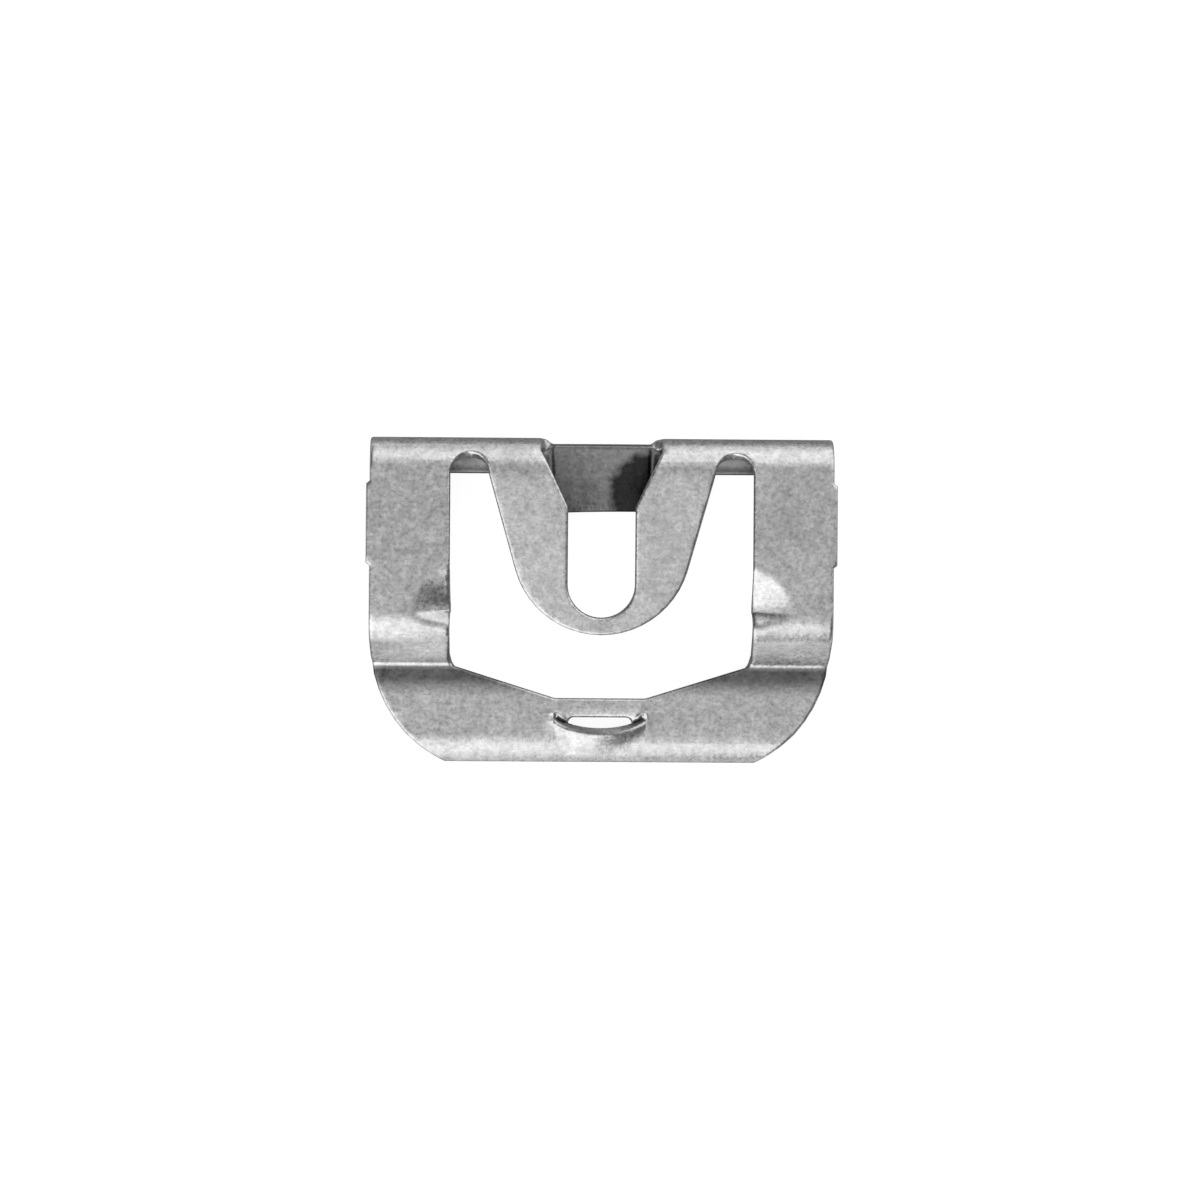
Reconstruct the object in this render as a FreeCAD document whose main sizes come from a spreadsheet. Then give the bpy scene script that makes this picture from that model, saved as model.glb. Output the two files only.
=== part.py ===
# Molding clip: one strip of plated spring steel, pierced flat and then folded.
#
# The clip lies as it rests, on its back leg and on the edge of its curled lip.
# X runs along the rolled top edge and Y from the lip to the roll. Z points up
# from the surface that it rests on, out of the plate that faces the panel.
# All sizes are in millimetres and degrees.

import FreeCAD, Part
import math
import os
import Sketcher

# Driving sizes, each one written once.
DRIVING_SIZES = {
    # The sheet and the rolled top edge.
    "sheet_thickness": 0.8,
    "body_width": 31.75,
    "fold_depth": 4.4,
    "back_leg": 0.2,
    # The step down to the lower frame, and the lip that rests on the surface.
    "step_drop": 12.05,
    "step_angle": 52.0,
    "step_radius": 2.6,
    "foot_radius": 0.4,
    "plate_rise": 1.5,
    "plate_flat": 4.62,
    "lip_radius": 2.45,
    # The outline: small ears at the sides, large arcs at the lower corners.
    "ear_projection": 0.24,
    "ear_length": 5.8,
    "ear_drop": 3.06,
    "ear_chamfer": 0.2,
    "corner_radius": 9.4,
    "corner_inset": 5.175,
    # The window between the arms, above the sill of the lower frame.
    "shoulder_rise": 0.13,
    "shoulder_fillet": 0.5,
    "sill_drop": 2.25,
    "sill_width": 6.26,
    # The arches that free the tongue from the arms.
    "arch_radius": 1.315,
    "arch_lean": 31.0,
    # The tongue, which is bent a little back from the plate, and its keyhole.
    "tongue_bend_gap": 0.4,
    "tongue_tilt": 5.0,
    "tongue_length": 10.95,
    "tongue_tip_radius": 6.14,
    "tongue_taper": 15.8,
    "slot_width": 4.61,
    "slot_tip_wall": 1.18,
    # The mouth through the rolled edge, where the stud goes in.
    "mouth_width": 8.26,
    "mouth_drop": 0.87,
    "mouth_depth": 3.89,
    "notch_angle": 80.0,
    "notch_fillet": 0.6,
    # The locking tab: the middle of the roll's back, pressed flat and sloping away.
    "tab_length": 4.7,
    "tab_angle": 15.0,
    "tab_root_width": 7.8,
    "tab_tip_width": 5.8,
    "tab_dish": 0.15,
    "tab_seat": 0.4,
    # The stiffening dimple on each arm, beside the step.
    "dimple_depth": 0.55,
    "dimple_radius": 2.1,
    "dimple_inset": 0.4,
    "dimple_rise": 0.7,
    # The pressed louvre in the middle of the lower plate.
    "louvre_width": 6.8,
    "louvre_reach": 1.95,
    "louvre_angle": 34.0,
    "louvre_strip": 1.22,
    "louvre_overlap": 0.28,
    # How far the cutting tools pass clear of the sheet.
    "tool_clearance": 1.0,
}

# Sizes worked out from the driving ones, in the order in which they are needed.
WORKED_OUT_SIZES = {
    # Height of the step, and the rise of its faces above the resting plane.
    "fold_radius": "fold_depth / 2",
    "fold_inner_rise": "fold_depth - sheet_thickness",
    "plate_back_rise": "plate_rise - sheet_thickness",
    "step_depth": "fold_depth - plate_rise",
    "step_sine": "sin(step_angle)",
    "step_cosine": "cos(step_angle)",
    "step_bends_depth": "(step_radius + foot_radius) * (1 - step_cosine)",
    "step_wall": "(step_depth - step_bends_depth) / step_sine",
    "step_run": "(step_radius + foot_radius) * step_sine + step_wall * step_cosine",
    # The lip curls until its back edge comes down to the resting plane.
    "lip_cosine": "(lip_radius - plate_rise) / (lip_radius - sheet_thickness)",
    "lip_sine": "sqrt(1 - lip_cosine ^ 2)",
    "lip_run": "lip_radius * lip_sine",
    "overall_height": "step_drop + step_run + plate_flat + lip_run",
    # Places along Y, from the top edge down to the bottom edge.
    "top_y": "overall_height / 2",
    "bottom_y": "-top_y",
    "fold_y": "top_y - fold_radius",
    "leg_y": "fold_y - back_leg",
    "bend_y": "fold_y - tongue_bend_gap",
    "step_y": "top_y - step_drop",
    "foot_y": "step_y - step_run",
    "lip_y": "foot_y - plate_flat",
    # Corners of the folded section.
    "step_centre_rise": "fold_depth - step_radius",
    "step_front_y": "step_y - step_radius * step_sine",
    "step_front_rise": "step_centre_rise + step_radius * step_cosine",
    "step_back_y": "step_y - (step_radius - sheet_thickness) * step_sine",
    "step_back_rise": "step_centre_rise + (step_radius - sheet_thickness) * step_cosine",
    "foot_centre_rise": "plate_rise + foot_radius",
    "foot_front_y": "foot_y + foot_radius * step_sine",
    "foot_front_rise": "foot_centre_rise - foot_radius * step_cosine",
    "foot_back_y": "foot_y + (foot_radius + sheet_thickness) * step_sine",
    "foot_back_rise": "foot_centre_rise - (foot_radius + sheet_thickness) * step_cosine",
    "lip_centre_rise": "plate_rise - lip_radius",
    "lip_front_rise": "lip_centre_rise + lip_radius * lip_cosine",
    "lip_back_y": "lip_y - (lip_radius - sheet_thickness) * lip_sine",
    # The outline.
    "body_half": "body_width / 2",
    "ear_half": "body_half + ear_projection",
    "ear_span": "ear_half * 2",
    "ear_top_y": "top_y - ear_drop",
    "ear_bottom_y": "ear_top_y - ear_length",
    "ear_upper_y": "ear_top_y - ear_chamfer",
    "ear_lower_y": "ear_bottom_y + ear_chamfer",
    "corner_x": "body_half - corner_radius",
    "corner_rise": "sqrt(corner_radius ^ 2 - (corner_radius - corner_inset) ^ 2)",
    "corner_y": "bottom_y + corner_rise",
    "corner_end_x": "body_half - corner_inset",
    "clear_half": "ear_half + tool_clearance",
    "clear_top_y": "top_y + tool_clearance",
    "clear_far_y": "top_y + tool_clearance * 2",
    "clear_bottom_y": "bottom_y - tool_clearance",
    # The tongue, in its own tilted plane, where the bend line is at zero.
    "taper_sine": "sin(tongue_taper)",
    "taper_cosine": "cos(tongue_taper)",
    "tip_centre": "tongue_tip_radius - tongue_length",
    "tip_side": "tip_centre - tongue_tip_radius * taper_sine",
    "tip_side_half": "tongue_tip_radius * taper_cosine",
    "tongue_root_half": "tip_side_half - tip_side * taper_sine / taper_cosine",
    "slot_half": "slot_width / 2",
    "slot_centre": "slot_tip_wall + slot_half - tongue_length",
    "mouth_half": "mouth_width / 2",
    "mouth_top_y": "top_y - mouth_drop",
    "throat_y": "mouth_top_y - mouth_depth",
    "throat_place": "(throat_y - bend_y) / cos(tongue_tilt)",
    "mouth_flare": "(mouth_half - slot_half) / mouth_depth",
    "mouth_bend_half": "slot_half + (bend_y - throat_y) * mouth_flare",
    # The arches, in a plane that leans with the fold.
    "arch_x": "tongue_root_half + arch_radius",
    "arm_edge": "arch_x + arch_radius",
    "arch_place": "-arch_radius",
    "arch_foot": "-(fold_y - bend_y) * cos(arch_lean) - fold_radius * sin(arch_lean) - arch_radius",
    # The window.
    "shoulder_y": "foot_y + shoulder_rise",
    "sill_y": "shoulder_y - sill_drop",
    "sill_half": "sill_width / 2",
    "sill_angle": "atan(sill_drop / (arm_edge - sill_half)) / 1 deg",
    "shoulder_setback": "shoulder_fillet / tan((90 + sill_angle) / 2)",
    "shoulder_side_y": "shoulder_y + shoulder_setback",
    "shoulder_centre_x": "arm_edge - shoulder_fillet",
    "shoulder_end_x": "arm_edge - shoulder_setback * cos(sill_angle)",
    "shoulder_end_y": "shoulder_y - shoulder_setback * sin(sill_angle)",
    # The notch in the rolled edge, in a plane square to the sheet at its end.
    "notch_lean": "180 - notch_angle",
    "notch_reach": "fold_depth",
    "notch_end_half": "mouth_half - notch_fillet",
    # The tab, from its rim at the notch down to its tip, which is dished.
    "tab_root_half": "tab_root_width / 2",
    "tab_tip_half": "tab_tip_width / 2",
    "tab_relief_width": "tab_root_width - 2 * tab_seat",
    "tab_relief_y": "leg_y - tool_clearance",
    "sheet_half": "sheet_thickness / 2",
    "fold_middle": "fold_radius - sheet_half",
    "tab_rim_y": "fold_y + fold_middle * sin(notch_angle) + sheet_half * sin(tab_angle)",
    "tab_rim_rise": "fold_radius - fold_middle * cos(notch_angle) - sheet_half * cos(tab_angle)",
    "tab_tip_y": "tab_rim_y - tab_length * cos(tab_angle)",
    "tab_tip_rise": "tab_rim_rise - tab_length * sin(tab_angle)",
    "tab_arc_radius": "(tab_tip_half ^ 2 + tab_dish ^ 2) / (2 * tab_dish)",
    "tab_back_centre": "tab_arc_radius",
    "tab_back_side": "tab_dish",
    "tab_front_centre": "tab_arc_radius + sheet_thickness",
    "tab_front_side": "tab_dish + sheet_thickness",
    # The dimples: one ball for the pit and a larger one for the bulge behind.
    "dimple_x": "arm_edge + dimple_inset",
    "dimple_y": "step_y + dimple_rise",
    "pit_ball": "(dimple_radius ^ 2 + dimple_depth ^ 2) / (2 * dimple_depth)",
    "bulge_ball": "pit_ball + sheet_thickness",
    "ball_rise": "fold_depth - dimple_depth + pit_ball",
    "pit_bottom": "fold_depth - dimple_depth",
    "pit_rim_x": "dimple_x + dimple_radius",
    "bulge_bottom": "pit_bottom - sheet_thickness",
    "bulge_top": "fold_depth - sheet_thickness / 2",
    "bulge_rim_x": "dimple_x + sqrt(bulge_ball ^ 2 - (ball_rise - bulge_top) ^ 2)",
    # The louvre, turned up about a line along X.
    "louvre_edge_y": "sill_y - louvre_strip",
    "louvre_axis_y": "louvre_edge_y + louvre_overlap",
    "louvre_half": "louvre_width / 2",
    "louvre_arc": "(louvre_half ^ 2 + louvre_reach ^ 2) / (2 * louvre_reach)",
    "louvre_centre_y": "louvre_axis_y - louvre_reach + louvre_arc",
    "louvre_inner_arc": "louvre_arc - sheet_thickness",
    "louvre_inner_half": "sqrt(louvre_inner_arc ^ 2 - (louvre_arc - louvre_reach) ^ 2)",
    "louvre_rise": "plate_rise - sheet_thickness / 2",
    "louvre_slot_half": "sqrt(louvre_inner_arc ^ 2 - (louvre_centre_y - louvre_edge_y) ^ 2)",
}

FULL_TURN = 360
document = FreeCAD.newDocument("MoldingClip")
sizes = document.addObject("Spreadsheet::Sheet", "Sizes")
clip = document.addObject("PartDesign::Body", "clip")
clip.Label = "clip"


def fill_sheet():
    """Write every size into the sheet, under its own name."""
    row = 1
    for name, number in DRIVING_SIZES.items():
        sizes.set(f"A{row}", name)
        sizes.set(f"B{row}", str(number))
        sizes.setAlias(f"B{row}", name)
        row += 1
    for name, formula in WORKED_OUT_SIZES.items():
        sizes.set(f"A{row}", name)
        sizes.set(f"B{row}", "=" + formula)
        sizes.setAlias(f"B{row}", name)
        row += 1
    document.recompute()


def reading(name):
    """The number behind a size's name; a leading minus turns its sign."""
    if name == "0":
        return 0.0
    if name.startswith("-"):
        return -float(sizes.get(name[1:]))
    return float(sizes.get(name))


def bound(name):
    """The expression that ties a property to a size in the sheet."""
    if name == "0":
        return "0"
    if name.startswith("-"):
        return "-Sizes." + name[1:]
    return "Sizes." + name


def sketch_on(role, label, offset=("0", "0", "0"), lean="0"):
    """A sketch on an origin plane, shifted and leaning about its own X."""
    plane = next(item for item in clip.Origin.OriginFeatures if item.Role == role)
    sketch = clip.newObject("Sketcher::SketchObject", label)
    sketch.AttachmentSupport = (plane, [""])
    sketch.MapMode = "FlatFace"
    place = FreeCAD.Vector(*(reading(name) for name in offset))
    turn = FreeCAD.Rotation(FreeCAD.Vector(1, 0, 0), reading(lean))
    sketch.AttachmentOffset = FreeCAD.Placement(place, turn)
    for axis, name in zip("xyz", offset):
        if name != "0":
            sketch.setExpression("AttachmentOffset.Base." + axis, bound(name))
    if lean != "0":
        sketch.setExpression("AttachmentOffset.Rotation.Angle", bound(lean))
    return sketch


def hold(sketch, kind, geometry, end, name):
    """Hold one coordinate of a point at a size from the sheet."""
    index = sketch.addConstraint(Sketcher.Constraint(kind, -1, 1, geometry, end, reading(name)))
    if name != "0":
        sketch.setExpression(f"Constraints[{index}]", bound(name))


def closed_loop(sketch, corners, arcs=None):
    """Draw a closed outline through named corners.

    Each side is straight, or an arc where arcs gives its centre and the way
    that it turns, left or right, as the outline is walked.
    """
    arcs = arcs or {}
    points = [FreeCAD.Vector(reading(x), reading(y), 0) for x, y in corners]
    sides = []
    for place, start in enumerate(points):
        end = points[(place + 1) % len(points)]
        if place not in arcs:
            geometry = sketch.addGeometry(Part.LineSegment(start, end), False)
            sides.append((geometry, 1, 2))
            continue
        x, y, turn = arcs[place]
        centre = FreeCAD.Vector(reading(x), reading(y), 0)
        first, last = (start, end) if turn == "left" else (end, start)
        circle = Part.Circle(centre, FreeCAD.Vector(0, 0, 1), (first - centre).Length)
        first_angle = math.atan2(first.y - centre.y, first.x - centre.x)
        last_angle = math.atan2(last.y - centre.y, last.x - centre.x)
        if last_angle <= first_angle:
            last_angle += 2 * math.pi
        geometry = sketch.addGeometry(Part.ArcOfCircle(circle, first_angle, last_angle), False)
        sides.append((geometry, 1, 2) if turn == "left" else (geometry, 2, 1))
    for place, (geometry, begin, finish) in enumerate(sides):
        following, follow_begin, _ = sides[(place + 1) % len(sides)]
        sketch.addConstraint(
            Sketcher.Constraint("Coincident", geometry, finish, following, follow_begin)
        )
        hold(sketch, "DistanceX", geometry, begin, corners[place][0])
        hold(sketch, "DistanceY", geometry, begin, corners[place][1])
    for place, (x, y, _) in arcs.items():
        chord = points[(place + 1) % len(points)] - points[place]
        if abs(chord.y) > abs(chord.x):
            hold(sketch, "DistanceX", sides[place][0], 3, x)
        else:
            hold(sketch, "DistanceY", sides[place][0], 3, y)


def mirrored(corners):
    """The same corners on the other side of the middle, in reverse order."""
    opposite = []
    for x, y in reversed(corners):
        if x == "0":
            opposite.append((x, y))
        elif x.startswith("-"):
            opposite.append((x[1:], y))
        else:
            opposite.append(("-" + x, y))
    return opposite


def feature(kind, label, profile):
    """A solid feature of the clip, made from a sketch."""
    item = clip.newObject("PartDesign::" + kind, label)
    item.Profile = profile
    profile.Visibility = False
    return item


def check_cut(item, before):
    """Stop if a cut took nothing away."""
    document.recompute()
    taken = before - item.Shape.Volume
    print(f"{item.Label} takes away {taken:.2f} cubic mm")
    if taken <= 0:
        raise RuntimeError(item.Label + " cuts nothing")


def pocket(label, profile):
    """A cut right through the clip, upwards from its sketch."""
    document.recompute()
    before = clip.Shape.Volume
    item = feature("Pocket", label, profile)
    item.Type = "ThroughAll"
    item.Reversed = True
    check_cut(item, before)


def fold_sheet():
    """The folded section, drawn from the side and padded across the width."""
    section = sketch_on("YZ_Plane", "folded_section")
    corners = [
        ("leg_y", "0"),
        ("fold_y", "0"),
        ("fold_y", "fold_depth"),
        ("step_y", "fold_depth"),
        ("step_front_y", "step_front_rise"),
        ("foot_front_y", "foot_front_rise"),
        ("foot_y", "plate_rise"),
        ("lip_y", "plate_rise"),
        ("bottom_y", "lip_front_rise"),
        ("lip_back_y", "0"),
        ("lip_y", "plate_back_rise"),
        ("foot_y", "plate_back_rise"),
        ("foot_back_y", "foot_back_rise"),
        ("step_back_y", "step_back_rise"),
        ("step_y", "fold_inner_rise"),
        ("fold_y", "fold_inner_rise"),
        ("fold_y", "sheet_thickness"),
        ("leg_y", "sheet_thickness"),
    ]
    arcs = {
        1: ("fold_y", "fold_radius", "left"),
        3: ("step_y", "step_centre_rise", "left"),
        5: ("foot_y", "foot_centre_rise", "right"),
        7: ("lip_y", "lip_centre_rise", "left"),
        9: ("lip_y", "lip_centre_rise", "right"),
        11: ("foot_y", "foot_centre_rise", "left"),
        13: ("step_y", "step_centre_rise", "right"),
        15: ("fold_y", "fold_radius", "right"),
    }
    closed_loop(section, corners, arcs)
    sheet = feature("Pad", "folded_sheet", section)
    sheet.setExpression("Length", bound("ear_span"))
    sheet.Midplane = True


def press_dimples():
    """A pit in the front of each arm, with the bulge that it leaves behind."""
    bulge_section = sketch_on("XZ_Plane", "bulge_section", ("0", "0", "-dimple_y"))
    closed_loop(
        bulge_section,
        [("dimple_x", "bulge_bottom"), ("bulge_rim_x", "bulge_top"), ("dimple_x", "bulge_top")],
        {0: ("dimple_x", "ball_rise", "left")},
    )
    bulge = feature("Revolution", "dimple_bulge", bulge_section)
    bulge.ReferenceAxis = (bulge_section, ["Edge3"])
    bulge.Angle = FULL_TURN
    document.recompute()
    before = clip.Shape.Volume
    pit_section = sketch_on("XZ_Plane", "pit_section", ("0", "0", "-dimple_y"))
    closed_loop(
        pit_section,
        [("dimple_x", "pit_bottom"), ("pit_rim_x", "fold_depth"), ("dimple_x", "fold_depth")],
        {0: ("dimple_x", "ball_rise", "left")},
    )
    pit = feature("Groove", "dimple_pit", pit_section)
    pit.ReferenceAxis = (pit_section, ["Edge3"])
    pit.Angle = FULL_TURN
    check_cut(pit, before)
    pair = clip.newObject("PartDesign::Mirrored", "dimple_pair")
    pair.Originals = [bulge, pit]
    middle = next(item for item in clip.Origin.OriginFeatures if item.Role == "YZ_Plane")
    pair.MirrorPlane = (middle, [""])
    clip.Tip = pair
    document.recompute()


def trim_outline():
    """Everything outside the clip's outline is cut away."""
    outline = sketch_on("XY_Plane", "outline")
    right_side = [
        ("corner_end_x", "clear_bottom_y"),
        ("corner_end_x", "bottom_y"),
        ("body_half", "corner_y"),
        ("body_half", "ear_bottom_y"),
        ("ear_half", "ear_lower_y"),
        ("ear_half", "ear_upper_y"),
        ("body_half", "ear_top_y"),
        ("body_half", "clear_top_y"),
    ]
    arcs = {
        1: ("corner_x", "corner_y", "left"),
        13: ("-corner_x", "corner_y", "left"),
    }
    closed_loop(outline, right_side + mirrored(right_side), arcs)
    frame = [
        ("-clear_half", "-clear_far_y"),
        ("clear_half", "-clear_far_y"),
        ("clear_half", "clear_far_y"),
        ("-clear_half", "clear_far_y"),
    ]
    closed_loop(outline, frame)
    pocket("outline_trim", outline)


def pierce_window():
    """The opening between the arms, down to the sill of the lower frame."""
    window = sketch_on("XY_Plane", "window")
    right_side = [
        ("sill_half", "sill_y"),
        ("shoulder_end_x", "shoulder_end_y"),
        ("arm_edge", "shoulder_side_y"),
        ("arm_edge", "bend_y"),
    ]
    arcs = {
        1: ("shoulder_centre_x", "shoulder_side_y", "left"),
        5: ("-shoulder_centre_x", "shoulder_side_y", "left"),
    }
    closed_loop(window, right_side + mirrored(right_side), arcs)
    pocket("window_cut", window)


def pierce_arches():
    """Two arches run up into the fold, square to the sheet at their tops."""
    arches = sketch_on(
        "XY_Plane", "arches", offset=("0", "fold_y", "fold_radius"), lean="-arch_lean"
    )
    arch = [
        ("tongue_root_half", "arch_foot"),
        ("arm_edge", "arch_foot"),
        ("arm_edge", "arch_place"),
        ("tongue_root_half", "arch_place"),
    ]
    closed_loop(arches, arch, {2: ("arch_x", "arch_place", "left")})
    closed_loop(arches, mirrored(arch), {0: ("-arch_x", "arch_place", "left")})
    pocket("arch_cut", arches)


def open_mouth():
    """The mouth flares through the front plate and the rolled edge."""
    flare = sketch_on("XY_Plane", "mouth_flare", offset=("0", "0", "fold_radius"))
    right_side = [
        ("mouth_bend_half", "bend_y"),
        ("mouth_half", "mouth_top_y"),
        ("mouth_half", "clear_top_y"),
    ]
    closed_loop(flare, right_side + mirrored(right_side))
    pocket("mouth_cut", flare)
    notch = sketch_on(
        "XY_Plane", "notch", offset=("0", "fold_y", "fold_radius"), lean="-notch_lean"
    )
    corners = [
        ("-mouth_half", "-notch_reach"),
        ("mouth_half", "-notch_reach"),
        ("mouth_half", "-notch_fillet"),
        ("notch_end_half", "0"),
        ("-notch_end_half", "0"),
        ("-mouth_half", "-notch_fillet"),
    ]
    arcs = {
        2: ("notch_end_half", "-notch_fillet", "left"),
        4: ("-notch_end_half", "-notch_fillet", "left"),
    }
    closed_loop(notch, corners, arcs)
    pocket("notch_cut", notch)


def press_louvre():
    """A hood is sheared free of the lower plate and turned up from it."""
    slot = sketch_on("XY_Plane", "louvre_slot")
    corners = [("louvre_slot_half", "louvre_edge_y"), ("-louvre_slot_half", "louvre_edge_y")]
    closed_loop(slot, corners, {1: ("0", "louvre_centre_y", "left")})
    pocket("louvre_cut", slot)
    hood_section = sketch_on("XY_Plane", "hood_section", offset=("0", "0", "louvre_rise"))
    corners = [
        ("-louvre_half", "louvre_axis_y"),
        ("louvre_half", "louvre_axis_y"),
        ("louvre_inner_half", "louvre_axis_y"),
        ("-louvre_inner_half", "louvre_axis_y"),
    ]
    arcs = {
        0: ("0", "louvre_centre_y", "left"),
        2: ("0", "louvre_centre_y", "right"),
    }
    closed_loop(hood_section, corners, arcs)
    hood = feature("Revolution", "louvre_hood", hood_section)
    hood.ReferenceAxis = (hood_section, ["Edge2"])
    hood.setExpression("Angle", bound("louvre_angle"))
    document.recompute()


def press_tab():
    """The middle of the roll's back gives way to a flat tab with a dished tip."""
    relief = sketch_on("YZ_Plane", "tab_relief")
    corners = [
        ("tab_relief_y", "-tool_clearance"),
        ("clear_top_y", "-tool_clearance"),
        ("clear_top_y", "fold_radius"),
        ("tab_relief_y", "fold_radius"),
    ]
    closed_loop(relief, corners)
    document.recompute()
    before = clip.Shape.Volume
    opening = feature("Pocket", "relief_cut", relief)
    opening.setExpression("Length", bound("tab_relief_width"))
    opening.Midplane = True
    check_cut(opening, before)
    root = sketch_on(
        "XZ_Plane", "tab_root", offset=("0", "tab_rim_rise", "-tab_rim_y"), lean="tab_angle"
    )
    corners = [
        ("-tab_root_half", "0"),
        ("tab_root_half", "0"),
        ("tab_root_half", "sheet_thickness"),
        ("-tab_root_half", "sheet_thickness"),
    ]
    closed_loop(root, corners)
    tip = sketch_on(
        "XZ_Plane", "tab_tip", offset=("0", "tab_tip_rise", "-tab_tip_y"), lean="tab_angle"
    )
    corners = [
        ("-tab_tip_half", "tab_back_side"),
        ("tab_tip_half", "tab_back_side"),
        ("tab_tip_half", "tab_front_side"),
        ("-tab_tip_half", "tab_front_side"),
    ]
    arcs = {
        0: ("0", "tab_back_centre", "left"),
        2: ("0", "tab_front_centre", "right"),
    }
    closed_loop(tip, corners, arcs)
    tab = feature("AdditiveLoft", "locking_tab", root)
    tab.Sections = [tip]
    tab.Ruled = True
    document.recompute()


def add_tongue():
    """The tongue, tilted back from the plate, with its keyhole open at the mouth."""
    tongue = sketch_on(
        "XY_Plane", "tongue", offset=("0", "bend_y", "fold_depth"), lean="tongue_tilt"
    )
    corners = [
        ("-tongue_root_half", "0"),
        ("-tip_side_half", "tip_side"),
        ("tip_side_half", "tip_side"),
        ("tongue_root_half", "0"),
        ("mouth_bend_half", "0"),
        ("slot_half", "throat_place"),
        ("slot_half", "slot_centre"),
        ("-slot_half", "slot_centre"),
        ("-slot_half", "throat_place"),
        ("-mouth_bend_half", "0"),
    ]
    arcs = {
        1: ("0", "tip_centre", "left"),
        6: ("0", "slot_centre", "right"),
    }
    closed_loop(tongue, corners, arcs)
    plate = feature("Pad", "tongue_plate", tongue)
    plate.setExpression("Length", bound("sheet_thickness"))
    plate.Reversed = True
    document.recompute()


def check_document():
    """Stop if any object failed, or if the clip isn't one sound solid."""
    for item in document.Objects:
        troubles = [state for state in item.State if state in ("Invalid", "Error")]
        if troubles:
            raise RuntimeError(f"{item.Label}: {troubles}")
    shape = clip.Shape
    if shape.isNull() or not shape.isValid() or len(shape.Solids) != 1:
        raise RuntimeError("the clip isn't one valid solid")


def main():
    fill_sheet()
    fold_sheet()
    press_dimples()
    trim_outline()
    pierce_window()
    pierce_arches()
    open_mouth()
    press_louvre()
    press_tab()
    add_tongue()
    check_document()
    box = clip.Shape.BoundBox
    print(f"clip: {clip.Shape.Volume:.1f} cubic mm, {len(clip.Shape.Faces)} faces")
    print(f"box from {box.XMin:.3f} {box.YMin:.3f} {box.ZMin:.3f}")
    print(f"box to {box.XMax:.3f} {box.YMax:.3f} {box.ZMax:.3f}")
    os.makedirs("parts", exist_ok=True)
    clip.Shape.exportStep("parts/clip.step")


main()
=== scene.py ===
# %% [markdown]
# # A molding clip, from a flat blank to a folded part
# The clip is one strip of thin plated spring steel. It slides onto a stud by
# the keyhole in its tongue, and a strip of molding snaps over its lower frame.
# The real one is pierced flat, embossed and then folded, so it is modelled in
# that order here: an outline, a sheet with soft edges, pressed forms, folds.

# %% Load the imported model
import math

import bmesh
import bpy
from mathutils import Matrix, Vector


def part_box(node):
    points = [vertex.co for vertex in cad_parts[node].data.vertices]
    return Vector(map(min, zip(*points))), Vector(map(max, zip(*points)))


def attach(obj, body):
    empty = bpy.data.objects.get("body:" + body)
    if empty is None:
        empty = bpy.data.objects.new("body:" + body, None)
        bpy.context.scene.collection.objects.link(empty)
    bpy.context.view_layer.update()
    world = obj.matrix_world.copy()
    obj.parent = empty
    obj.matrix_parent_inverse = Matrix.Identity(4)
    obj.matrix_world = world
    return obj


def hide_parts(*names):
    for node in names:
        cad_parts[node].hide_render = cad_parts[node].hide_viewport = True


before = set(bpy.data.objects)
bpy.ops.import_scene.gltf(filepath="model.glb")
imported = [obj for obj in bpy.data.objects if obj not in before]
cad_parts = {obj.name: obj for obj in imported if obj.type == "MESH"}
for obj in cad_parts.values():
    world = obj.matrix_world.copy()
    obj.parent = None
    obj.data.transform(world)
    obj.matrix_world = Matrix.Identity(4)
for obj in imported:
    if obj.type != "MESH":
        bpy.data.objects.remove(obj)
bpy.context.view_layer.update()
MM = 0.001
low, high = (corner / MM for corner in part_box("clip"))
TOP = high.y
BOTTOM = low.y
EAR_HALF = high.x
print(f"the packed clip is {2 * EAR_HALF:.2f} by {TOP - BOTTOM:.2f} by {high.z - low.z:.2f} mm")

# %% [markdown]
# ## The side profile
# Seen from the side, the sheet is flats joined by bends. A flat blank is as
# long as the middle of the sheet, because the inside of a bend is squeezed and
# the outside is stretched. Each bend is named here by the radius of its front
# face and by its angle, and everything else follows from those.

# %% Profile sizes, in millimetres
SHEET = 0.8
DEPTH = 4.4
MIDDLE = DEPTH - SHEET / 2
BACK_LEG = 0.2
STEP_DROP = 12.05
STEP_TURN = math.radians(52)
STEP_RADIUS = 2.6
FOOT_RADIUS = 0.4
PLATE_RISE = 1.5
PLATE_FLAT = 4.62
LIP_RADIUS = 2.45

ROLL_RADIUS = DEPTH / 2
ROLL_MIDDLE = ROLL_RADIUS - SHEET / 2
STEP_MIDDLE = STEP_RADIUS - SHEET / 2
FOOT_MIDDLE = FOOT_RADIUS + SHEET / 2
LIP_MIDDLE = LIP_RADIUS - SHEET / 2
LIP_TURN = math.acos((LIP_RADIUS - PLATE_RISE) / (LIP_RADIUS - SHEET))
BENDS_DEPTH = (STEP_RADIUS + FOOT_RADIUS) * (1 - math.cos(STEP_TURN))
WALL = (DEPTH - PLATE_RISE - BENDS_DEPTH) / math.sin(STEP_TURN)

FOLD_Y = TOP - ROLL_RADIUS
STEP_Y = TOP - STEP_DROP
WALL_TOP_Y = STEP_Y - STEP_RADIUS * math.sin(STEP_TURN)
WALL_END_Y = STEP_Y - STEP_MIDDLE * math.sin(STEP_TURN) - WALL * math.cos(STEP_TURN)
FOOT_Y = WALL_END_Y - FOOT_MIDDLE * math.sin(STEP_TURN)
FOOT_TOP_Y = FOOT_Y + FOOT_RADIUS * math.sin(STEP_TURN)
LIP_Y = FOOT_Y - PLATE_FLAT

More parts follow.
